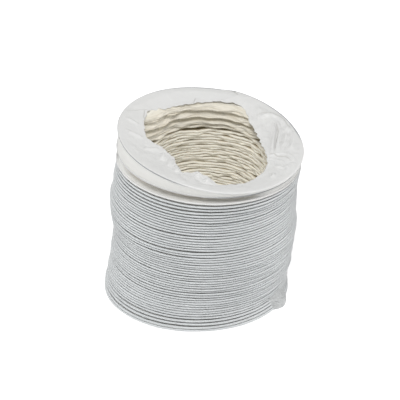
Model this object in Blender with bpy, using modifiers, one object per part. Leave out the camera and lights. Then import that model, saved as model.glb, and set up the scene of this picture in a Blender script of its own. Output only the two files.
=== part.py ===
"""Flexible air duct for a 100 mm spigot, pushed together like a concertina and standing on one end.

Metres, +Z up. The duct's air path runs along Z and its lowest turn rests on z = 0. X and Y are
measured from the middle of the whole object's box.

The real duct is one steel wire helix inside a thin white film that folds inwards between the
turns. Here every pair of turns is a separate unit, a pleat of film round a hoop of wire, so that
the units can move apart along Z when the duct is pulled out. The last two turns at the top are
loose: each is a hemmed ring of film on its own wire, hinged where it touches the packed turns.
"""

import math

import bmesh
import bpy
from mathutils import Matrix, Vector

# Driving dimensions
FILM_RADIUS = 0.0525  # outside of the film over the wire
BORE_RADIUS = 0.0345  # inner edge of the folded film
UNIT_COUNT = 25  # pairs of packed turns
TURN_PITCH = 0.00166  # packed height of one turn
GAP = 0.0003  # clearance between pieces that touch

# The film and the wire of a packed unit
UNIT_PITCH = 2 * TURN_PITCH
UNIT_FILM = 0.0006
UNIT_NOSE = 0.0006  # how far the outer edge of a pleat bulges
UNIT_WIRE_RADIUS = 0.00057
UNIT_WALL = 0.001  # film outside the wire, from the nose to the pocket

# The film and the wire of a loose turn
LOOSE_FILM = 0.0003
LOOSE_NOSE = 0.0005
LOOSE_WIRE_RADIUS = 0.00045
LOOSE_WALL = 0.0009
HEM_LAP = 0.004  # film lapped back over the wire

# The loose turns tilt about one line, which touches the stack at its right front
TILT_SIDE = math.radians(-31)  # azimuth of the line's nearest point
HINGE_CLEARANCE = 0.0008  # from the film's outer edge out to the line
LOOSE_TILT = math.radians(4)
END_TILT = math.radians(9.5)

# The collar of film inside the end turn
COLLAR_DIP = 0.0022  # drop of its inner edge on the raised side
COLLAR_WAVE = 0.0011  # depth of the waves round its inner edge

# The cut end of the film, squashed out beside the lowest turn
TAB_FROM = math.radians(-50)
TAB_TO = math.radians(-20)
TAB_REACH = 0.0042
TAB_HEIGHT = 0.0058
TAB_THIN = 0.2  # size of its two tips, against its middle

# The stack leans: sideways shift of its centre at a few heights
LEAN = (
    (0.000, -0.0036),
    (0.003, -0.0043),
    (0.010, -0.0029),
    (0.022, -0.0009),
    (0.034, 0.0005),
    (0.042, 0.0013),
    (0.050, 0.0002),
    (0.057, 0.0003),
    (0.066, 0.0013),
    (0.083, 0.0034),
)
SWAY = 0.0006  # the same in depth, as one slow wave
SWAY_HEIGHT = 0.050
STACK_X = 0.0001  # moves the whole stack, so that its box is centred on the origin
STACK_Y = 0.00009

SEGMENTS = 20  # sides of a full circle
WIRE_SIDES = 5
TAB_STEPS = 8

WHITE_FILM = ((0.83, 0.84, 0.83), 0.38, 0.0)
END_FILM = ((0.86, 0.86, 0.84), 0.32, 0.0)
SPRING_STEEL = ((0.56, 0.57, 0.58), 0.35, 1.0)


def clear_scene():
    """Removes whatever the scene holds."""
    for existing in list(bpy.data.objects):
        bpy.data.objects.remove(existing, do_unlink=True)


def make_collection(name):
    """A new collection in the scene."""
    collection = bpy.data.collections.new(name)
    bpy.context.scene.collection.children.link(collection)
    return collection


def make_material(name, finish):
    """A Principled material from a colour, a roughness and a metallic value."""
    colour, roughness, metallic = finish
    material = bpy.data.materials.new(name)
    material.use_nodes = True
    shader = material.node_tree.nodes["Principled BSDF"]
    shader.inputs["Base Color"].default_value = (*colour, 1.0)
    shader.inputs["Roughness"].default_value = roughness
    shader.inputs["Metallic"].default_value = metallic
    material.diffuse_color = (*colour, 1.0)
    return material


def smooth_step(share):
    """0 to 1 with level ends."""
    return share * share * (3 - 2 * share)


def stack_centre(height):
    """Centre of the stack at a height above its base."""
    sideways = LEAN[-1][1]
    for (low, low_shift), (high, high_shift) in zip(LEAN, LEAN[1:]):
        if height <= high:
            share = smooth_step((height - low) / (high - low))
            sideways = low_shift + share * (high_shift - low_shift)
            break
    depth = SWAY * math.sin(2 * math.pi * height / SWAY_HEIGHT)
    return Vector((STACK_X + sideways, STACK_Y + depth, height))


def add_turned(name, outline, material, collection):
    """A ring turned about Z from a closed outline of (radius, height) points."""
    mesh = bpy.data.meshes.new(name)
    points = [(radius, 0, height) for radius, height in outline]
    edges = [(i, (i + 1) % len(points)) for i in range(len(points))]
    mesh.from_pydata(points, edges, [])
    mesh.materials.append(material)
    ring = bpy.data.objects.new(name, mesh)
    collection.objects.link(ring)
    screw = ring.modifiers.new("turn", "SCREW")
    screw.axis = "Z"
    screw.angle = 2 * math.pi
    screw.steps = SEGMENTS
    screw.render_steps = SEGMENTS
    screw.use_merge_vertices = True
    screw.merge_threshold = 0.00001
    screw.use_smooth_shade = True
    return ring


def add_hoop(name, hoop_radius, wire_radius, material, collection):
    """A closed hoop of round wire in the XY plane."""
    bpy.ops.mesh.primitive_torus_add(
        major_segments=SEGMENTS,
        minor_segments=WIRE_SIDES,
        major_radius=hoop_radius,
        minor_radius=wire_radius,
    )
    hoop = bpy.context.object
    hoop.name = name
    hoop.data.name = name
    hoop.data.shade_smooth()
    hoop.data.materials.append(material)
    for holder in list(hoop.users_collection):
        holder.objects.unlink(hoop)
    collection.objects.link(hoop)
    return hoop


def pleat_outline():
    """A pleat in section: round the outside of the wire, and two legs in to the bore."""
    half = (UNIT_PITCH - GAP) / 2
    pocket = half - UNIT_FILM
    shoulder = FILM_RADIUS - UNIT_NOSE
    wall = FILM_RADIUS - UNIT_WALL
    return [
        (shoulder, half),
        (FILM_RADIUS, 0),
        (shoulder, -half),
        (BORE_RADIUS, -half),
        (BORE_RADIUS, -pocket),
        (wall, -pocket),
        (wall, pocket),
        (BORE_RADIUS, pocket),
        (BORE_RADIUS, half),
    ]


def loose_half_height():
    """Half the height of the hem of a loose turn."""
    return LOOSE_WIRE_RADIUS + GAP + LOOSE_FILM


def hem_outline(inner_radius):
    """A loose turn in section: a hem round the wire, and one leg in to the bore."""
    half = loose_half_height()
    pocket = half - LOOSE_FILM
    shoulder = FILM_RADIUS - LOOSE_NOSE
    wall = FILM_RADIUS - LOOSE_WALL
    lap = FILM_RADIUS - HEM_LAP
    middle = (lap + inner_radius) / 2
    return [
        (shoulder, half),
        (FILM_RADIUS, 0),
        (shoulder, -half),
        (lap, -half),
        (middle, -half),
        (inner_radius, -half),
        (inner_radius, -pocket),
        (middle, -pocket),
        (lap, -pocket),
        (wall, -pocket),
        (wall, pocket),
        (lap, pocket),
        (lap, half),
    ]


def add_unit(number, materials, collection):
    """One packed unit: a pleat of film with its hoop of wire inside."""
    height = (number - 0.5) * UNIT_PITCH - GAP / 2
    centre = stack_centre(height)
    pleat = add_turned(f"film_pleat_{number:02d}", pleat_outline(), materials["film"], collection)
    pleat.location = centre
    wire_centre = FILM_RADIUS - UNIT_WALL - GAP - UNIT_WIRE_RADIUS
    name = f"wire_turn_{number:02d}"
    hoop = add_hoop(name, wire_centre, UNIT_WIRE_RADIUS, materials["wire"], collection)
    hoop.location = centre


def add_hinge_guide(collection):
    """The empty that carries the loose turns: its Y axis is the line they tilt about."""
    top = UNIT_COUNT * UNIT_PITCH - GAP
    outward = Vector((math.cos(TILT_SIDE), math.sin(TILT_SIDE), 0))
    guide = bpy.data.objects.new("loose_turns_hinge", None)
    guide.location = stack_centre(top) + outward * (FILM_RADIUS + HINGE_CLEARANCE)
    guide.rotation_euler = (0, 0, TILT_SIDE)
    collection.objects.link(guide)
    return guide


def hang_on_hinge(piece, guide, tilt, rise):
    """Tilts a ring about the hinge line. rise is its height over the line where it is lowest."""
    to_centre = Vector((-(FILM_RADIUS + HINGE_CLEARANCE), 0, rise))
    piece.parent = guide
    piece.location = Matrix.Rotation(tilt, 3, "Y") @ to_centre
    piece.rotation_euler = (0, tilt, 0)


def add_loose_wire(name, materials, collection):
    """The wire of a loose turn."""
    centre = FILM_RADIUS - LOOSE_WALL - GAP - LOOSE_WIRE_RADIUS
    return add_hoop(name, centre, LOOSE_WIRE_RADIUS, materials["wire"], collection)


def crumple_collar(collar):
    """Turns the plain ring into a collar that dips to a wavy inner edge."""
    shape = bpy.data.meshes.new_from_object(collar.evaluated_get(bpy.context.evaluated_depsgraph_get()))
    collar.modifiers.clear()
    collar.data = shape
    lap = FILM_RADIUS - HEM_LAP
    for vertex in shape.vertices:
        radius = math.hypot(vertex.co.x, vertex.co.y)
        depth = max(0, (lap - radius) / (lap - BORE_RADIUS))
        around = math.atan2(vertex.co.y, vertex.co.x)
        wave = math.sin(3 * around + 0.8) + 0.6 * math.sin(5 * around + 2.1)
        new_radius = radius + depth * COLLAR_WAVE * wave
        vertex.co.x *= new_radius / radius
        vertex.co.y *= new_radius / radius
        vertex.co.z -= depth * COLLAR_DIP * (1 - math.cos(around)) / 2
    shape.shade_smooth()


def add_loose_turns(materials, collection):
    """The two loose turns at the top: film and wire of each, on one hinge line."""
    guide = add_hinge_guide(collection)
    first_rise = GAP + loose_half_height()
    second_rise = first_rise + GAP + 2 * loose_half_height()
    turn_film = add_turned("loose_turn_film", hem_outline(BORE_RADIUS), materials["film"], collection)
    turn_wire = add_loose_wire("loose_turn_wire", materials, collection)
    collar = add_turned("end_film_collar", hem_outline(BORE_RADIUS), materials["end_film"], collection)
    end_wire = add_loose_wire("end_turn_wire", materials, collection)
    crumple_collar(collar)
    hang_on_hinge(turn_film, guide, LOOSE_TILT, first_rise)
    hang_on_hinge(turn_wire, guide, LOOSE_TILT, first_rise)
    hang_on_hinge(collar, guide, END_TILT, second_rise)
    hang_on_hinge(end_wire, guide, END_TILT, second_rise)


def add_cut_end(materials, collection):
    """The cut end of the film: a wedge that lies along the foot of the lowest turn."""
    inner = FILM_RADIUS + GAP
    cage = bmesh.new()
    sections = []
    for step in range(TAB_STEPS + 1):
        share = step / TAB_STEPS
        size = TAB_THIN + (1 - TAB_THIN) * math.sin(math.pi * share)
        along = TAB_FROM + share * (TAB_TO - TAB_FROM)
        out = Vector((math.cos(along), math.sin(along), 0))
        corners = (
            out * inner,
            out * (inner + TAB_REACH * size),
            out * inner + Vector((0, 0, TAB_HEIGHT * size)),
        )
        sections.append([cage.verts.new(corner) for corner in corners])
    for near, far in zip(sections, sections[1:]):
        for i in range(3):
            j = (i + 1) % 3
            cage.faces.new((near[i], near[j], far[j], far[i]))
    cage.faces.new(reversed(sections[0]))
    cage.faces.new(sections[-1])
    bmesh.ops.recalc_face_normals(cage, faces=cage.faces)
    mesh = bpy.data.meshes.new("cut_end_tab")
    cage.to_mesh(mesh)
    cage.free()
    mesh.materials.append(materials["film"])
    tab = bpy.data.objects.new("cut_end_tab", mesh)
    tab.location = stack_centre(0)
    collection.objects.link(tab)


def build_duct():
    """Builds the whole duct."""
    clear_scene()
    collection = make_collection("flexible_air_duct")
    materials = {
        "film": make_material("white_film", WHITE_FILM),
        "end_film": make_material("end_film", END_FILM),
        "wire": make_material("spring_steel", SPRING_STEEL),
    }
    for number in range(1, UNIT_COUNT + 1):
        add_unit(number, materials, collection)
    add_loose_turns(materials, collection)
    add_cut_end(materials, collection)


build_duct()
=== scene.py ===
"""Looks of the flexible air duct: a packed stack of film-covered wire turns with a loose, tilted end.

Lengths are in metres unless a comment says otherwise. Azimuths turn from +X to +Y. A ring is the
plane that one turn of the wire lies in. Every ring carries a bead of film, and between two rings the
film folds inwards to a crease.
"""

import math

import bpy
import numpy as np
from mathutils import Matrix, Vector, noise


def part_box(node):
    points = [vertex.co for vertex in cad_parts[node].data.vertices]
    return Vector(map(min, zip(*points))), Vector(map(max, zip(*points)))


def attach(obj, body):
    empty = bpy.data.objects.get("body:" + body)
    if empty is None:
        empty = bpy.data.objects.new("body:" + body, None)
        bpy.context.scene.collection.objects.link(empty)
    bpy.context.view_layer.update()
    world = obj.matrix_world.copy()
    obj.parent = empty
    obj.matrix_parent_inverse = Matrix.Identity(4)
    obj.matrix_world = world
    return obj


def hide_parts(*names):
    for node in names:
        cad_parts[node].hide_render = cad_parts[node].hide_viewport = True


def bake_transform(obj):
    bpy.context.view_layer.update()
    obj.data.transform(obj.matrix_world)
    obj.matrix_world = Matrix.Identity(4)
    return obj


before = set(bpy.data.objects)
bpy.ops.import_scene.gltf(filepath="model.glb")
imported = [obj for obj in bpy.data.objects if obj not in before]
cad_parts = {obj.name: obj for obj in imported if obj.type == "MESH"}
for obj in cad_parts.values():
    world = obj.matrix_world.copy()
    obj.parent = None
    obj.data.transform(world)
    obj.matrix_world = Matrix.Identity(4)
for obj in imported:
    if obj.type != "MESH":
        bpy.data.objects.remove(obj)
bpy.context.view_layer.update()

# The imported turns
TURNS = 50
UNITS = 25
WHITE_TURNS = 1  # the top turns, whose beads take the collar's whiter material
TOP_UNIT = f"turn_{UNITS:02d}"
BEAD_CENTRE = 0.05175  # radius of the middle of a bead
BEAD_HALF_WIDTH = 0.00072
BEAD_HALF_HEIGHT = 0.00056
BEAD_CORNERS = 10  # corners of a bead's section
PRESSED_GROWTH = 0.22  # how much taller the beads are where they are pressed together, on the right
PRESSED_TURNS = 12  # the lowest turns, which are pressed together all round
PACK_CLEARANCE = 0.0002  # from the lowest and the highest bead to the ends of the pack
CREASE_RADIUS = 0.0347  # mean radius of the folds' inner creases
FILM = 0.00014  # thickness of the film in the folds
BEAD_STEPS = 144
FOLD_STEPS = 300
FOLD_DEPTHS = (0.0, 0.2, 0.45, 0.7, 0.9)  # places of a fold's points, as shares of its depth
FOLD_BULB = 0.00064  # radius of a crease's bend

# Gaps that stand open on one side: (after this turn, azimuth of the open side, opening in mm)
OPEN_GAPS = (
    (2, 165, 0.4), (5, 170, 0.3), (13, 165, 0.45), (15, 200, 0.3), (22, 170, 0.45), (30, 190, 0.4),
    (32, 210, 0.65), (38, 200, 0.45), (43, -45, 0.45), (45, 190, 0.5), (46, 210, 0.45), (47, 225, 0.7),
    (48, 235, 0.65), (49, 240, 0.7),
)
FOOT_SPREAD = (0.0010, 0.0009, 0.0006, 0.0003)  # extra radius of the lowest turns, which are squashed
FOOT_SHIFT = np.array([0.0001, -0.0020, 0.0])  # how far the lowest turn has slipped forwards
BELLY = ((0.038, 0.0), (0.046, 0.0008), (0.058, 0.001), (0.068, 0.0))  # (height, extra radius)
RAISED_SIDE = math.radians(160)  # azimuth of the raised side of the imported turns
PACK_TILT = math.radians(2.0)  # slope of the top packed turn

PAINTED_GLOW_STRENGTH = 0.22  # strength of a painted glow, for the light that comes through the thin film into the folds

# The film between the loose rings: its corners from the lower ring, as (radius in mm, share of the gap)
LOOSE_PLEATS = (
    (51.65, 0.0), (41, 0.02), (35.8, 0.08), (34.6, 0.16), (34.8, 0.32), (35.6, 0.42), (34.7, 0.52),
    (34.9, 0.68), (35.8, 0.8), (42, 0.9), (51.65, 1.0),
)
END_PLEATS = (
    (51.65, 0.0), (41, 0.03), (35.6, 0.05), (34.5, 0.11), (35.6, 0.17), (38.0, 0.36), (38.8, 0.43),
    (36.6, 0.48), (35.8, 0.55), (36.2, 0.66), (37.8, 0.85), (46, 0.9), (51.65, 1.0),
)
LOOSE_CLEARANCE = 0.0005  # lifts that film off the folds below it
GROOVE_DEPTH = 0.0004  # of the creases that run round it
WRINKLE_DEPTH = 0.001  # of its fine wrinkles
HOODED = (-106, 10)  # azimuths where the end turn's film covers the rim of the collar smoothly
HOOD = ((52.65, 0.1), (50.6, 0.5))  # its last corners there: radius, and height over the ring, in mm
END_BUMPS = ((62, 24, 0.0014), (-72, 32, -0.0015))  # where the end turn is sprung out of its plane

# The cut end of the film at the foot: azimuths in degrees, and (azimuth, radius in mm) of its lowest edge
TAB_FROM = -41
TAB_TO = -9
TAB_STEPS = 90
TAB_HEIGHT = 0.0085
TAB_CRUMPLE = 0.0017
TAB_FOOT = (
    (-41, 53.4), (-38, 53.6), (-35.4, 54.9), (-33, 56.6), (-30, 57.9), (-28, 57.8), (-22, 56.4),
    (-9, 53.6),
)
# Its section, from the foot up the outside and down the inside: shares of its reach and of its height
TAB_SECTION = (
    (0.9, 0.0), (1.0, 0.02), (1.02, 0.1), (0.92, 0.22), (0.75, 0.36), (0.52, 0.52), (0.3, 0.68),
    (0.12, 0.82), (-0.02, 0.95), (-0.15, 1.0), (-0.3, 0.9), (-0.3, 0.5), (-0.3, 0.1), (0.2, 0.0),
)

# The collar of film in the end turn
COLLAR_FILM = 0.0002
COLLAR_STEPS = 660
COLLAR_ROWS = 65
RIDGE_SCALE = 1.6  # multiplies the heights of its ridges


# ---------------------------------------------------------------- small tools

def unit_vector(azimuth):
    """Level unit vector at an azimuth."""
    return np.array([math.cos(azimuth), math.sin(azimuth), 0.0])


def smooth(share):
    """0 to 1 with level ends."""
    share = np.clip(share, 0, 1)
    return share * share * (3 - 2 * share)


def between(azimuth, low, high, edge):
    """1 between two azimuths in degrees, 0 outside, with soft edges of a width in degrees."""
    turn = (azimuth - low) % 360
    span = (high - low) % 360
    rise = smooth(turn / edge + 0.5) * smooth((span - turn) / edge + 0.5)
    wrapped = smooth((turn - 360) / edge + 0.5)
    return np.maximum(rise, wrapped)


def rough_noise(rng, angles, lowest, highest, size):
    """A closed random wave with every whole count from lowest to highest, of about one size."""
    total = np.zeros_like(angles)
    for count in range(lowest, highest + 1):
        total += rng.normal() * np.sin(count * angles + rng.uniform(0, 2 * math.pi))
    return total * size / math.sqrt((highest - lowest + 1) / 2)


def mesh_object(name, points, faces, material, smooth_shade=True):
    """A mesh object from an array of points and a list of faces."""
    mesh = bpy.data.meshes.new(name)
    mesh.from_pydata(np.asarray(points).tolist(), [], faces)
    mesh.update()
    if smooth_shade:
        mesh.shade_smooth()
    mesh.materials.append(material)
    piece = bpy.data.objects.new(name, mesh)
    bpy.context.scene.collection.objects.link(piece)
    return piece


def closed_sweep(name, sections, material):
    """A closed ring-shaped surface: sections[step, corner] are points, closed both ways."""
    steps, corners = sections.shape[:2]
    index = np.arange(steps * corners).reshape(steps, corners)
    after = np.roll(index, -1, axis=0)
    quads = np.stack([index, np.roll(index, -1, axis=1), np.roll(after, -1, axis=1), after], axis=-1)
    return mesh_object(name, sections.reshape(-1, 3), quads.reshape(-1, 4).tolist(), material)


# ---------------------------------------------------------------- rings

class Ring:
    """One turn of the wire: a centre and a unit normal.

    spread is how much wider than the others it is, and bumps are (azimuth, width, height) of the
    places where it stands over its plane, in degrees and metres.
    """

    def __init__(self, centre, normal, spread=0.0, bumps=()):
        self.centre = np.array(centre, float)
        self.normal = np.array(normal, float) / np.linalg.norm(normal)
        if self.normal[2] < 0:
            self.normal = -self.normal
        self.spread = spread
        self.bumps = bumps

    def points(self, angles, radius, rise=0.0):
        """Points over the plane: radius is level, rise is along Z from the plane."""
        radius = radius + self.spread * smooth((radius - CREASE_RADIUS) / (BEAD_CENTRE - CREASE_RADIUS))
        flat = np.stack([radius * np.cos(angles), radius * np.sin(angles)], axis=-1)
        slope = -self.normal[:2] / self.normal[2]
        height = flat @ slope + rise
        for azimuth, width, lift in self.bumps:
            away = (np.degrees(angles) - azimuth + 180) % 360 - 180
            height = height + lift * np.exp(-((away / width) ** 2))
        return self.centre + np.concatenate([flat, height[..., None]], axis=-1)


def node_ring(node, bumps=()):
    """The ring that a round CAD node lies on."""
    vertices = bpy.data.objects[node].data.vertices
    points = np.array([vertex.co for vertex in vertices])
    centre = points.mean(axis=0)
    axes = np.linalg.svd(points - centre, full_matrices=False)[2]
    return Ring(centre, axes[2], bumps=bumps)


def packed_rings():
    """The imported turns, from the lowest: spread over the CAD units, a little fanned."""
    centres = []
    for unit in range(1, UNITS + 1):
        low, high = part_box(f"film_pleat_{unit:02d}")
        centres.append((low + high) / 2)
    centres = np.array(centres)
    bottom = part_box("film_pleat_01")[0].z
    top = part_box(f"film_pleat_{UNITS:02d}")[1].z
    first = bottom + BEAD_HALF_HEIGHT + PACK_CLEARANCE
    last = top - BEAD_HALF_HEIGHT - PACK_CLEARANCE
    gaps = {turn: (math.radians(azimuth), size / 1000) for turn, azimuth, size in OPEN_GAPS}
    opened = sum(size for azimuth, size in gaps.values())
    pitch = (last - first - opened / 2) / (TURNS - 1)
    fanned = sum(unit_vector(azimuth) * size for azimuth, size in gaps.values()) / 2 / BEAD_CENTRE
    closing = (fanned - math.tan(PACK_TILT) * unit_vector(RAISED_SIDE)) / (TURNS - 1)
    rings = []
    height = first
    slope = np.zeros(3)
    for turn in range(1, TURNS + 1):
        centre = np.array([
            np.interp(height, centres[:, 2], centres[:, 0]),
            np.interp(height, centres[:, 2], centres[:, 1]),
            height,
        ])
        foot = FOOT_SPREAD[turn - 1] if turn <= len(FOOT_SPREAD) else 0.0
        centre += FOOT_SHIFT * foot / FOOT_SPREAD[0]
        belly = np.interp(height, [place[0] for place in BELLY], [place[1] for place in BELLY])
        rings.append(Ring(centre, np.array([0, 0, 1.0]) - slope, foot + belly))
        azimuth, size = gaps.get(turn, (0.0, 0.0))
        height += pitch + size / 2
        slope = slope + unit_vector(azimuth) * size / 2 / BEAD_CENTRE - closing
    return rings


# ---------------------------------------------------------------- materials

def new_material(name, colour, roughness):
    """A Principled material with its shader."""
    material = bpy.data.materials.new(name)
    material.use_nodes = True
    shader = material.node_tree.nodes["Principled BSDF"]
    shader.inputs["Base Color"].default_value = (*colour, 1)
    shader.inputs["Roughness"].default_value = roughness
    return material, shader


def add_node(material, kind, **settings):
    """A new node: settings are its properties, and sockets holds the values of its inputs by name."""
    node = material.node_tree.nodes.new(kind)
    for key, value in settings.pop("sockets", {}).items():
        node.inputs[key].default_value = value
    for key, value in settings.items():
        setattr(node, key, value)
    return node


def noise_node(material, scale, detail=3.0):
    """Noise over the object's own coordinates; scale is in features per metre."""
    place = add_node(material, "ShaderNodeTexCoord")
    sockets = {"Scale": scale, "Detail": detail, "Roughness": 0.55}
    pattern = add_node(material, "ShaderNodeTexNoise", sockets=sockets)
    material.node_tree.links.new(place.outputs["Object"], pattern.inputs["Vector"])
    return pattern


def mix_colours(material, share, first, second):
    """The colour between two colours, each a socket or a value, by a share socket."""
    mix = add_node(material, "ShaderNodeMix", data_type="RGBA")
    links = material.node_tree.links
    links.new(share, mix.inputs["Factor"])
    for name, value in (("A", first), ("B", second)):
        socket = [i for i in mix.inputs if i.name == name and i.type == "RGBA"][0]
        if isinstance(value, tuple):
            socket.default_value = (*value, 1)
        else:
            links.new(value, socket)
    return [o for o in mix.outputs if o.type == "RGBA"][0]


def ramp(material, share, low, high):
    """A socket that is 0 where share is below low and 1 where it is above high."""
    node = add_node(material, "ShaderNodeMapRange", interpolation_type="SMOOTHSTEP")
    material.node_tree.links.new(share, node.inputs["Value"])
    node.inputs["From Min"].default_value = low
    node.inputs["From Max"].default_value = high
    return node.outputs["Result"]


def add_film_bump(material, shader, scale, distance):
    """Fine unevenness of thin film."""
    pattern = noise_node(material, scale, detail=4.0)
    bump = add_node(material, "ShaderNodeBump", sockets={"Strength": 0.5, "Distance": distance})
    links = material.node_tree.links
    links.new(pattern.outputs["Fac"], bump.inputs["Height"])
    links.new(bump.outputs["Normal"], shader.inputs["Normal"])


def add_translucence(material, shader, colour, share):
    """Lets part of the light through the film."""
    translucent = add_node(material, "ShaderNodeBsdfTranslucent")
    mix = add_node(material, "ShaderNodeMixShader", sockets={"Fac": share})
    output = material.node_tree.nodes["Material Output"]
    links = material.node_tree.links
    if isinstance(colour, tuple):
        translucent.inputs["Color"].default_value = (*colour, 1)
    else:
        links.new(colour, translucent.inputs["Color"])
    links.new(shader.outputs["BSDF"], mix.inputs[1])
    links.new(translucent.outputs["BSDF"], mix.inputs[2])
    links.new(mix.outputs["Shader"], output.inputs["Surface"])


def outer_film_material(name, dark, light):
    """Cool white film over the wire, slightly mottled between two tones."""
    material, shader = new_material(name, light, 0.30)
    mottle = noise_node(material, 60.0)
    colour = mix_colours(material, mottle.outputs["Fac"], dark, light)
    material.node_tree.links.new(colour, shader.inputs["Base Color"])
    add_film_bump(material, shader, 900.0, 0.0001)
    add_translucence(material, shader, colour, 0.3)
    return material


def fold_film_material():
    """Film of the folds.

    It is cool at the outside and painted lighter and warmer deep inside, for the light bounced between
    the layers. It has painted shade deep between other layers, and a painted glow on the inner creases,
    for the light that comes through.
    """
    material, shader = new_material("fold_film", (0.9, 0.88, 0.8), 0.45)
    depth = add_node(material, "ShaderNodeAttribute", attribute_name="depth")
    # painted warmth: the film is lighter and warmer deeper in the fold, for the light bounced between the
    # layers
    warm_share = ramp(material, depth.outputs["Fac"], 0.15, 0.75)
    mottle = noise_node(material, 110.0)
    warm = mix_colours(material, mottle.outputs["Fac"], (0.955, 0.93, 0.855), (0.97, 0.95, 0.885))
    colour_so_far = mix_colours(material, warm_share, (0.865, 0.865, 0.85), warm)
    # painted shade: dark brown deep in the folds, in their grooves and under the rim
    buried = add_node(material, "ShaderNodeAttribute", attribute_name="buried")
    colour = mix_colours(material, buried.outputs["Fac"], colour_so_far, (0.46, 0.38, 0.24))
    material.node_tree.links.new(colour, shader.inputs["Base Color"])
    add_film_bump(material, shader, 500.0, 0.0002)
    # painted glow: emission on the inner crease tips, for light that comes through the film
    lit = add_node(material, "ShaderNodeAttribute", attribute_name="lit")
    glow = mix_colours(material, lit.outputs["Fac"], (0.0, 0.0, 0.0), (1.0, 0.94, 0.80))
    material.node_tree.links.new(glow, shader.inputs["Emission Color"])
    shader.inputs["Emission Strength"].default_value = PAINTED_GLOW_STRENGTH
    add_translucence(material, shader, colour, 0.45)
    return material


def collar_material():
    """Smooth soft film of the collar, with painted shade over the wire, and creased grey with painted
    shade along its fold edges.
    """
    material, shader = new_material("collar_film", (0.85, 0.85, 0.84), 0.42)
    mottle = noise_node(material, 45.0)
    white = mix_colours(material, mottle.outputs["Fac"], (0.715, 0.715, 0.70), (0.755, 0.755, 0.75))
    # painted shade: dark grey on the outer side of the rim, over the wire
    wire = add_node(material, "ShaderNodeAttribute", attribute_name="wire")
    rim_shade_share = ramp(material, wire.outputs["Fac"], 0.1, 1.0)
    colour_so_far = mix_colours(material, rim_shade_share, white, (0.30, 0.31, 0.32))
    # grey lines on the fold edges: partly the grey of creased film, partly painted shade
    mark = add_node(material, "ShaderNodeAttribute", attribute_name="mark")
    mark_share = ramp(material, mark.outputs["Fac"], 0.0, 1.3)
    colour = mix_colours(material, mark_share, colour_so_far, (0.52, 0.51, 0.48))
    material.node_tree.links.new(colour, shader.inputs["Base Color"])
    add_film_bump(material, shader, 260.0, 0.0003)
    add_translucence(material, shader, colour, 0.2)
    return material


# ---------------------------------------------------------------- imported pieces

def add_bead(turn, ring, material, rng):
    """The film over one turn of wire, as a closed bead."""
    angles = np.linspace(0, 2 * math.pi, BEAD_STEPS, endpoint=False)
    around = np.linspace(0, 2 * math.pi, BEAD_CORNERS, endpoint=False)
    wander = rough_noise(rng, angles, 2, 7, 0.00012)
    size = 1 + rough_noise(rng, angles, 9, 40, 0.04)
    pressed = between(np.degrees(angles), -75, 60, 60)
    if turn <= PRESSED_TURNS:
        pressed = np.maximum(pressed, 0.6)
    tall = BEAD_HALF_HEIGHT * size * (1 + PRESSED_GROWTH * pressed)
    radius = BEAD_CENTRE + wander[:, None] + BEAD_HALF_WIDTH * size[:, None] * np.cos(around)
    rise = rough_noise(rng, angles, 2, 6, 0.00004)[:, None]
    rise = rise + tall[:, None] * np.sin(around)
    grid = np.broadcast_to(angles[:, None], radius.shape)
    piece = closed_sweep(f"turn_bead_{turn:02d}", ring.points(grid, radius, rise), material)
    return piece


def fold_line(low, high, angles, crease, edge, lift, sag, bulb):
    """The film between two rings: in from the lower ring, round a crease, and back out.

    crease is the radius of the crease, edge the radius of both edges, lift the height of the crease
    as a share of the gap, sag a bend of both layers, and bulb the radius of the crease's bend.
    Returns points[angle, point] and how deep in the fold each point is, from 0 to 1.
    """
    at_crease = high.points(angles, crease)[:, 2] - low.points(angles, crease)[:, 2]
    lip = np.minimum(0.33, bulb / at_crease)
    flat = 0.4 * bulb
    inner = crease + flat
    radii, shares, depths = [], [], []
    for depth in FOLD_DEPTHS:
        opened = depth ** 1.4
        spread = 0.5 * (1 - opened) + opened * lip
        middle = lift * depth + 0.5 * (1 - depth) + 0.5 * sag * math.sin(math.pi * depth)
        radii.append(edge + (inner - edge) * depth)
        shares.append((middle - spread, middle + spread))
        depths.append(depth)
    radius = list(radii)
    share = [pair[0] for pair in shares]
    for bend in (-65, -30, 30, 65):
        side = math.sin(math.radians(bend))
        radius.append(inner - flat * math.cos(math.radians(bend)))
        share.append(lift + side * lip)
        depths.append(1.0)
    radius += radii[::-1]
    share += [pair[1] for pair in shares[::-1]]
    depths += list(FOLD_DEPTHS)[::-1]
    radius = np.stack([np.broadcast_to(r, angles.shape) for r in radius], axis=1)
    share = np.stack([np.broadcast_to(s, angles.shape) for s in share], axis=1)
    grid = np.broadcast_to(angles[:, None], radius.shape)
    below = low.points(grid, radius)
    above = high.points(grid, radius)
    line = below + (above - below) * share[..., None]
    return line, radius, np.array(depths)


def thin_shell(name, centre_line, material, thickness=FILM, **shares):
    """A closed thin shell round a ring-shaped sheet, centre_line[step, point].

    shares are values from 0 to 1 that its material reads by name: for each a pair of values on the
    points, first of the side that faces the bore and then of the other side.
    """
    along = np.gradient(centre_line, axis=1)
    around = np.roll(centre_line, -1, axis=0) - np.roll(centre_line, 1, axis=0)
    normal = np.cross(along, around)
    normal /= np.linalg.norm(normal, axis=-1, keepdims=True)
    one_side = centre_line + normal * thickness / 2
    other_side = centre_line - normal * thickness / 2
    sections = np.concatenate([one_side, other_side[:, ::-1]], axis=1)
    piece = closed_sweep(name, sections, material)
    for title, pair in shares.items():
        near, far = (np.broadcast_to(values, centre_line.shape[:2]) for values in pair)
        values = np.concatenate([near, far[:, ::-1]], axis=1).reshape(-1)
        attribute = piece.data.attributes.new(title, "FLOAT", "POINT")
        attribute.data.foreach_set("value", values.astype(np.float32))
    return piece


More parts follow.
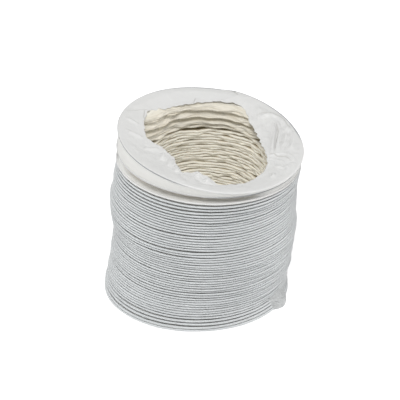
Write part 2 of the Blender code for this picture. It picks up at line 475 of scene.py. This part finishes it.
def add_fold(number, low, high, material, rng, wave):
    """The fold of film between two rings.

    Both its edges lie in planes parallel to the lower ring.
    """
    angles = np.linspace(0, 2 * math.pi, FOLD_STEPS, endpoint=False)
    crease = CREASE_RADIUS + rng.normal() * 0.0003
    crease = crease + rough_noise(rng, angles, 2, 24, 0.00035) + rough_noise(rng, angles, 25, 60, 0.0001)
    lift = 0.5 + wave + rough_noise(rng, angles, 4, 26, 0.055)
    sag = rough_noise(rng, angles, 2, 12, 0.10)
    edge = BEAD_CENTRE - 0.0002
    line, radius, depths = fold_line(low, high, angles, crease, edge, lift, sag, FOLD_BULB)
    line[:, 0] = low.points(angles, radius[:, 0])
    reference = Ring(high.centre, low.normal, high.spread)
    line[:, -1] = reference.points(angles, radius[:, -1])
    tip = smooth((depths - 0.9) / 0.1)
    piece = thin_shell(
        f"film_fold_{number:02d}", line, material,
        depth=(depths, 0.2 * depths),
        # painted shade deeper in the fold, left off at the crease tip
        buried=(smooth((depths - 0.15) / 0.6) * (1 - tip), 0.0),
        # painted glow on the crease tip, stronger towards the top turns
        lit=(tip * (0.15 + 0.85 * number / TURNS), 0.0),
    )
    return piece


def blend_share(piece):
    """Bakes the piece's placement into its points."""
    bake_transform(piece)


def blend_rigid(piece):
    """Bakes the whole piece's placement into its points."""
    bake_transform(piece)


def add_packed_turns(rings, film, fold_film, end_film):
    """All packed turns: a bead on every ring and a fold between each two."""
    rng = np.random.default_rng(7)
    angles = np.linspace(0, 2 * math.pi, FOLD_STEPS, endpoint=False)
    wave = rough_noise(rng, angles, 2, 9, 0.12)
    for turn, ring in enumerate(rings, start=1):
        bead = add_bead(turn, ring, end_film if turn > TURNS - WHITE_TURNS else film, rng)
        if turn == 1:
            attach(bead, "root")
        elif turn == TURNS:
            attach(bead, TOP_UNIT)
        else:
            blend_rigid(bead)
        if turn % 2 == 1:
            unit = (turn + 1) // 2
            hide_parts(f"film_pleat_{unit:02d}", f"wire_turn_{unit:02d}")
    for turn in range(1, TURNS):
        low, high = rings[turn - 1], rings[turn]
        wave = 0.85 * wave + rough_noise(rng, angles, 2, 9, 0.07)
        fold = add_fold(turn, low, high, fold_film, rng, wave)
        blend_share(fold)


# ---------------------------------------------------------------- film of the loose turns

def rounded(line):
    """A finer line[angle, point] with its corners cut off; its two ends stay."""
    for _ in range(3):
        first = 0.75 * line[:, :-1] + 0.25 * line[:, 1:]
        second = 0.25 * line[:, :-1] + 0.75 * line[:, 1:]
        cut = np.stack([first, second], axis=2).reshape(len(line), -1, line.shape[2])
        line = np.concatenate([line[:, :1], cut, line[:, -1:]], axis=1)
    return line


def add_loose_film(name, rings, pleats, taut, inset, hood, material, rng):
    """The film between two loose rings: loosely pleated inwards, but pulled tight where taut is 1.

    The tight part leans in by inset, or by most of the gap where that is less, and where hood is 1 it
    covers the rim above. The loose part has grooves and wrinkles round it.
    """
    angles = np.linspace(0, 2 * math.pi, FOLD_STEPS, endpoint=False)
    edge = BEAD_CENTRE - 0.0001
    low, high = rings
    gap = high.points(angles, edge)[:, 2] - low.points(angles, edge)[:, 2]
    inset = np.minimum(0.9 * gap, inset)
    last = len(pleats) - 1
    corners = []
    for number, (radius, share) in enumerate(pleats):
        even = number / last
        sway = rough_noise(rng, angles, 3, 20, 0.0006)
        heave = rough_noise(rng, angles, 3, 14, 0.015) + LOOSE_CLEARANCE * (1 - even) / gap
        if number in (0, last):
            sway, heave = 0, 0
        leaning = edge + 0.0004 + 0.0004 * math.sin(math.pi * even) - inset * even ** 0.6
        if number == last - 1:
            leaning = leaning - 0.4 * inset
        folded = np.stack([radius / 1000 + sway + 0 * angles, share + heave + 0 * angles], axis=-1)
        straight = np.stack([leaning, even + 0 * angles], axis=-1)
        place = folded + taut[:, None] * (straight - folded)
        if number >= last - 1:
            over = HOOD[number - last + 1]
            covering = np.stack([over[0] / 1000 + 0 * angles, 1 + over[1] / 1000 / gap], axis=-1)
            place = place + hood[:, None] * (covering - place)
        corners.append(place)
    line = rounded(np.stack(corners, axis=1))
    share = line[..., 1]
    along = np.linspace(0, 1, share.shape[1])
    loose = np.sin(math.pi * along) * (1 - taut[:, None])
    phase = rough_noise(rng, angles, 1, 5, 0.22)
    grooves = loose * (1 - np.abs(np.sin(math.pi * (5 * share + phase[:, None])))) ** 5
    radius = line[..., 0] + GROOVE_DEPTH * grooves
    grid = np.broadcast_to(angles[:, None], radius.shape)
    below = low.points(grid, radius)
    above = high.points(grid, radius)
    sheet = below + (above - below) * share[..., None]
    wrinkles = np.zeros(radius.shape)
    for at in np.ndindex(*radius.shape):
        x, y, z = sheet[at] * 1000
        wrinkles[at] = noise.turbulence(Vector((x * 0.07, y * 0.07, z * 1.1)), 3, True) - 0.6
    wrinkles *= WRINKLE_DEPTH * loose
    sheet[..., 0] += wrinkles * np.cos(angles)[:, None]
    sheet[..., 1] += wrinkles * np.sin(angles)[:, None]
    depths = 0.96 * np.clip((edge - radius) / (edge - 0.039), 0, 1) ** 1.3
    # painted shade on the outer face of film tucked under the rim
    under_rim = np.clip((inset - 0.0015) / 0.0015, 0, 1) * taut
    tip = smooth((depths - 0.8) / 0.16)
    piece = thin_shell(
        name, sheet, material,
        depth=(depths, 0.2 * depths),
        # painted shade on the crease tips and in the grooves, and under the rim on the outer face
        buried=(0.22 * tip + 0.4 * grooves, 0.75 * under_rim[:, None] * along),
        # painted glow on the crease tips
        lit=(0.3 * tip, 0.0),
    )
    normal = low.normal + high.normal
    normal /= np.linalg.norm(normal)
    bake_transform(piece)


# ---------------------------------------------------------------- collar

def from_line(x, y, points):
    """Distance from a bent line, positive on its left, and the share along it of the nearest place.

    The line's points are (azimuth in degrees, radius in mm), and x, y and the distance are in mm.
    """
    places = [
        (radius * math.cos(math.radians(azimuth)), radius * math.sin(math.radians(azimuth)))
        for azimuth, radius in points
    ]
    nearest = np.full(x.shape, 1e9)
    share_along = np.zeros(x.shape)
    total = sum(math.dist(a, b) for a, b in zip(places, places[1:]))
    passed = 0.0
    for (x0, y0), (x1, y1) in zip(places, places[1:]):
        length = math.dist((x0, y0), (x1, y1))
        share = ((x - x0) * (x1 - x0) + (y - y0) * (y1 - y0)) / length ** 2
        share = np.clip(share, 0, 1)
        away = np.hypot(x - x0 - share * (x1 - x0), y - y0 - share * (y1 - y0))
        side = np.where((x1 - x0) * (y - y0) > (y1 - y0) * (x - x0), 1.0, -1.0)
        closer = away < np.abs(nearest)
        nearest = np.where(closer, away * side, nearest)
        share_along = np.where(closer, (passed + share * length) / total, share_along)
        passed += length
    return nearest, share_along


def ridge(x, y, points, width):
    """1 on a bent line, falling away over a width on both sides, and fading at its ends."""
    away, along = from_line(x, y, points)
    return np.exp(-((away / width) ** 2)) * np.sqrt(4 * along * (1 - along))


def step(x, y, points, reach):
    """A fold's edge: jumps from 0 to 1 on the left of a bent line, then dies away over reach."""
    away, along = from_line(x, y, points)
    return smooth(away / 0.35) * np.exp(-np.abs(away) / reach) * np.sqrt(4 * along * (1 - along))


# Hole in the collar: (azimuth in degrees, radius in mm)
HOLE = (
    (5, 28.5), (28, 29), (46, 32), (64, 41), (88, 39), (114, 36), (133, 37.5), (147, 41.5),
    (180, 37), (191, 36), (206, 30), (227, 30), (246, 39), (257, 33.5), (269, 36.5), (275, 42.5),
    (300, 41), (328, 36.5), (341, 33),
)

# Ridges of the crumpled film: points as (azimuth, radius in mm), then width and height in mm
RIDGES = (
    (((45, 38.5), (43, 43), (40, 46.5), (34, 48), (26, 47.5), (18, 47)), 1.2, 0.9),
    (((36, 39.5), (32, 42), (23, 39.5), (8, 35.5), (-10, 34.5)), 1.0, 1.0),
    (((33, 45), (22, 42.5), (11, 39), (-4, 37)), 1.0, 0.9),
    (((25, 49), (15, 48.5), (5, 46.5), (-4, 45)), 1.1, 0.8),
    (((18, 45), (8, 42.5), (-2, 40)), 0.9, 0.7),
    (((-15, 32.5), (-11, 37), (-10, 41.5), (-12, 46.5)), 0.8, 0.6),
    (((-18, 33.5), (-19, 38), (-21, 43)), 0.8, 0.5),
    (((-29, 40.5), (-28, 43.5), (-28, 46)), 0.8, 0.5),
    (((-24, 45.5), (-27, 47.5), (-32, 48.5)), 0.8, 0.4),
    (((-38, 43.5), (-41, 45.5), (-44, 45)), 1.1, 0.6),
    (((-143, 32.5), (-139, 35), (-135, 37.5)), 1.5, 1.0),
    (((-131, 33), (-128, 36.5), (-126, 40)), 1.4, 0.9),
    (((-122, 35.5), (-119, 38.5), (-117, 41.5)), 1.2, 0.7),
    (((-152, 33), (-153, 37), (-155, 41)), 1.4, 0.6),
    (((-170, 38), (-172, 42), (-175, 46)), 1.2, 0.5),
    (((172, 41), (170, 45), (169, 49)), 1.0, 0.5),
    (((-101, 34.5), (-102, 37.5)), 1.0, 0.8),
    (((-92, 38), (-94, 41)), 0.9, 0.7),
    (((-104, 40), (-96, 43), (-86, 44.5)), 1.2, -0.5),
)

# Edges of folded-over film: points as (azimuth, radius in mm), the high side on their left, then the
# reach of the high side and its height in mm
STEPS = (
    (((161, 50.5), (153, 45.5), (146, 40), (136, 36.5), (122, 35.5)), 12.0, -0.9),
    (((150, 43.5), (158, 41), (166, 38)), 6.0, 0.5),
    (((83, 50), (74, 51.5), (71, 49), (75, 45), (79, 42.5), (90, 39), (100, 36)), 7.0, 0.9),
    (((102, 42), (104, 39), (106, 36)), 3.0, 0.7),
    (((48, 39), (46, 43), (41, 47), (32, 49.5), (20, 49)), 4.0, 0.8),
    (((30, 43.5), (20, 41), (8, 37.5), (-6, 36)), 3.0, 0.8),
    (((-9, 33), (-13, 38), (-14, 43), (-18, 47.5)), 3.0, 0.6),
    (((-170, 39), (-176, 43.5), (-178, 48)), 4.0, 0.5),
    (((-145, 38), (-150, 43), (-152, 47)), 4.0, 0.5),
)


def collar_rise(angles, radius):
    """Height of the collar over its ring's plane, at a polar grid of points.

    It is worked out in mm: a fall towards the hole, a swell on the right, the ridges and the fold
    edges, one more layer of film at the back, and fine crumples.
    """
    azimuth = np.degrees(angles) % 360
    x = radius * np.cos(angles) * 1000
    y = radius * np.sin(angles) * 1000
    inward = (BEAD_CENTRE - radius) * 1000
    rise = -2.0 * smooth(inward / 14)
    swell = between(azimuth, -35, 62, 40) * np.exp(-(((inward - 7.5) / 6.0) ** 2))
    rise = rise + 1.3 * swell
    for points, width, height in RIDGES:
        rise = rise + RIDGE_SCALE * height * ridge(x, y, points, width)
    for points, reach, height in STEPS:
        rise = rise + height * step(x, y, points, reach)
    on_top = between(azimuth, 66, 152, 6)
    rise = rise + 0.7 * on_top * smooth(inward / 5)
    rough = 0.4 + 1.1 * between(azimuth, -45, 60, 25) + 0.8 * between(azimuth, 195, 280, 25)
    crumple = np.zeros(x.shape)
    for index in np.ndindex(x.shape):
        place = Vector((x[index] * 0.14, y[index] * 0.14, 3.7))
        crumple[index] = noise.turbulence(place, 4, True) - 0.7
    rise = rise + 0.55 * crumple * rough * smooth(inward / 4)
    return rise / 1000


def crease_marks(angles, radius):
    """How much a point of the collar lies on the sharp edge of a fold, from 0 to 1."""
    x = radius * np.cos(angles) * 1000
    y = radius * np.sin(angles) * 1000
    mark = np.zeros(x.shape)
    for points, *_ in STEPS:
        away, along = from_line(x, y, points)
        mark = np.maximum(mark, np.exp(-((away / 0.3) ** 2)) * (4 * along * (1 - along)) ** 0.25)
    return mark


def add_collar(ring, material):
    """The film of the end turn: over the wire, and folded in to an uneven hole."""
    rng = np.random.default_rng(41)
    angles = np.linspace(0, 2 * math.pi, COLLAR_STEPS, endpoint=False)
    azimuths = [point[0] for point in HOLE]
    hole = np.interp(np.degrees(angles), azimuths, [point[1] / 1000 for point in HOLE], period=360)
    hole = hole + rough_noise(rng, angles, 12, 60, 0.00028)
    inward = np.linspace(0, 1, COLLAR_ROWS) ** 0.9
    radius = BEAD_CENTRE + (hole[:, None] - BEAD_CENTRE) * inward
    grid = np.broadcast_to(angles[:, None], radius.shape)
    rise = collar_rise(grid, radius) + BEAD_HALF_HEIGHT
    wrap = np.radians([-110, -70, -30, 10, 50])  # the lap of film round the outside of the wire
    wrap_radius = BEAD_CENTRE + BEAD_HALF_WIDTH * np.cos(wrap)
    wrap_rise = BEAD_HALF_HEIGHT * np.sin(wrap)
    radius = np.concatenate([np.broadcast_to(wrap_radius, (len(angles), len(wrap))), radius], axis=1)
    rise = np.concatenate([np.broadcast_to(wrap_rise, (len(angles), len(wrap))), rise], axis=1)
    grid = np.broadcast_to(angles[:, None], radius.shape)
    # painted shade on the outer side of the rim over the wire, wider at the back right, left off where
    # the end turn's film hoods the rim
    bare_rim = 1 - between(np.degrees(angles), *HOODED, 24)
    reach = 2 + 3 * between(np.degrees(angles), 0, 120, 60)
    wire = bare_rim[:, None] * (1 - smooth((np.arange(radius.shape[1]) - reach[:, None]) / 3))
    sheet = ring.points(grid, radius, rise)
    mark = crease_marks(grid, radius)
    piece = thin_shell("end_collar", sheet, material, COLLAR_FILM, wire=(wire, wire), mark=(mark, mark))
    return piece


# ---------------------------------------------------------------- loose turns

def add_loose_turns(top_ring, fold_film, collar_film):
    """The two loose turns, their folds and the collar."""
    rng = np.random.default_rng(23)
    loose = node_ring("loose_turn_wire")
    end = node_ring("end_turn_wire", END_BUMPS)
    loose_bead = add_bead(TURNS + 1, loose, collar_film, rng)
    places = np.array([vertex.co for vertex in loose_bead.data.vertices])
    azimuth = np.degrees(np.arctan2(places[:, 1], places[:, 0]))
    # painted shade: the loose bead is dark grey, darker at the front right where it is pressed between
    # the rim and the stack
    wire = loose_bead.data.attributes.new("wire", "FLOAT", "POINT")
    wire.data.foreach_set("value", 0.45 + 0.4 * between(azimuth, -80, 0, 30))
    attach(loose_bead, "loose_turn")
    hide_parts("loose_turn_film", "loose_turn_wire")
    angles = np.linspace(0, 360, FOLD_STEPS, endpoint=False)
    taut = between(angles, 168, 30, 44)
    tucked = 0.97 * between(angles, 168, 24, 44)
    inset = 0.0015 + 0.0045 * between(angles, -140, -30, 50)
    inset = inset * (1 - between(angles, -62, 30, 30))
    bare = 0 * angles
    rings = (top_ring, loose)
    add_loose_film("loose_fold", rings, LOOSE_PLEATS, tucked, inset, bare, fold_film, rng)
    rings = (loose, end)
    hood = between(angles, *HOODED, 12)
    add_loose_film("end_fold", rings, END_PLEATS, taut, bare, hood, fold_film, rng)
    collar = add_collar(end, collar_film)
    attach(collar, "end_turn")
    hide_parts("end_film_collar", "end_turn_wire")


# ---------------------------------------------------------------- cut end

def add_cut_end(ring, material):
    """The cut end of the film, squashed out beside the lowest turns: a crumpled flap with closed ends."""
    share = np.linspace(0, 1, TAB_STEPS)
    azimuth = np.radians(TAB_FROM + (TAB_TO - TAB_FROM) * share)
    size = np.sqrt(np.clip(np.minimum(share * 7, (1 - share) * 2.2), 0.002, 1))
    foot_azimuths = [place[0] for place in TAB_FOOT]
    foot_radii = [place[1] / 1000 for place in TAB_FOOT]
    foot = np.interp(np.degrees(azimuth), foot_azimuths, foot_radii)
    inner = BEAD_CENTRE + BEAD_HALF_WIDTH
    section = rounded(np.array([TAB_SECTION + TAB_SECTION[:1]]))[0, :-1]
    corners = len(section)
    crumple = np.zeros((TAB_STEPS, corners))
    for at in np.ndindex(TAB_STEPS, corners):
        place = Vector((azimuth[at[0]] * 30, section[at[1], 1] * 5 + azimuth[at[0]] * 9, 1.3))
        crumple[at] = noise.turbulence(place, 4, True) - 0.6
    outside = section[:, 0] > 0
    crumple *= size[:, None] * np.sin(math.pi * section[:, 1]) * outside
    radius = inner + (foot - inner)[:, None] * size[:, None] * section[:, 0] + TAB_CRUMPLE * crumple
    height = TAB_HEIGHT * size[:, None] * section[:, 1] + 0.0001
    grid = np.broadcast_to(azimuth[:, None], radius.shape)
    points = np.stack([radius * np.cos(grid), radius * np.sin(grid), height], axis=-1)
    points[..., :2] += ring.centre[:2] - FOOT_SHIFT[:2]
    index = np.arange(TAB_STEPS * corners).reshape(TAB_STEPS, corners)
    near, far = index[:-1], index[1:]
    quads = np.stack([near, np.roll(near, -1, axis=1), np.roll(far, -1, axis=1), far], axis=-1)
    faces = quads.reshape(-1, 4)[:, ::-1].tolist() + [index[0].tolist(), index[-1][::-1].tolist()]
    piece = mesh_object("cut_end", points.reshape(-1, 3), faces, material)
    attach(piece, "root")
    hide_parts("cut_end_tab")


# ---------------------------------------------------------------- studio

def add_camera():
    """A long lens in front of the duct, looking down at it."""
    elevation = math.radians(29.5)
    distance = 1.166
    camera = bpy.data.objects.new("camera", bpy.data.cameras.new("camera"))
    bpy.context.scene.collection.objects.link(camera)
    camera.data.lens = 183.1
    camera.data.sensor_width = 36
    target = Vector((-0.0015, 0, 0.0545))
    back = Vector((0, -math.cos(elevation), math.sin(elevation)))
    camera.location = target + back * distance
    camera.rotation_euler = (math.pi / 2 - elevation, 0, 0)
    camera.data.clip_start = 0.05
    camera.data.clip_end = 200
    bpy.context.scene.camera = camera


def add_light(name, location, size, power):
    """A square soft light aimed at the middle of the duct."""
    data = bpy.data.lights.new(name, "AREA")
    data.size = size
    data.energy = power
    light = bpy.data.objects.new(name, data)
    light.location = location
    aim = Vector((0, 0, 0.05))
    light.rotation_euler = (aim - Vector(location)).to_track_quat("-Z", "Y").to_euler()
    bpy.context.scene.collection.objects.link(light)


def add_studio():
    """A white floor, a white surround and soft lights."""
    material, shader = new_material("studio_white", (0.35, 0.35, 0.35), 0.9)
    shader.inputs["Emission Color"].default_value = (1, 1, 1, 1)
    shader.inputs["Emission Strength"].default_value = 0.8
    reach = 40.0
    corners = [(-reach, -reach, 0), (reach, -reach, 0), (reach, reach, 0), (-reach, reach, 0)]
    floor = mesh_object("floor", corners, [(0, 1, 2, 3)], material, smooth_shade=False)
    world = bpy.data.worlds.new("studio")
    world.use_nodes = True
    background = world.node_tree.nodes["Background"]
    background.inputs["Color"].default_value = (1, 1, 1, 1)
    background.inputs["Strength"].default_value = 0.3
    bpy.context.scene.world = world
    add_light("left_light", (-3.2, 0.25, 1.4), 2.5, 44)
    add_light("right_light", (3.2, 0.25, 1.4), 2.5, 53)
    add_light("top_light", (-0.25, -1.75, 3.2), 1.2, 98)
    bpy.context.scene.view_settings.view_transform = "Standard"
    bpy.context.scene.cycles.diffuse_bounces = 12


def build():
    """Builds every piece and the studio."""
    film = outer_film_material("outer_film", (0.67, 0.69, 0.695), (0.715, 0.73, 0.735))
    # painted shade: the cut end's film is darker than the wall's, to look as shaded as the wall round it
    cut_film_painted_shade = outer_film_material("cut_film_painted_shade", (0.49, 0.50, 0.50), (0.66, 0.67, 0.67))
    fold_film = fold_film_material()
    collar_film = collar_material()
    rings = packed_rings()
    add_packed_turns(rings, film, fold_film, collar_film)
    add_loose_turns(rings[-1], fold_film, collar_film)
    add_cut_end(rings[0], cut_film_painted_shade)
    add_studio()
    add_camera()


build()
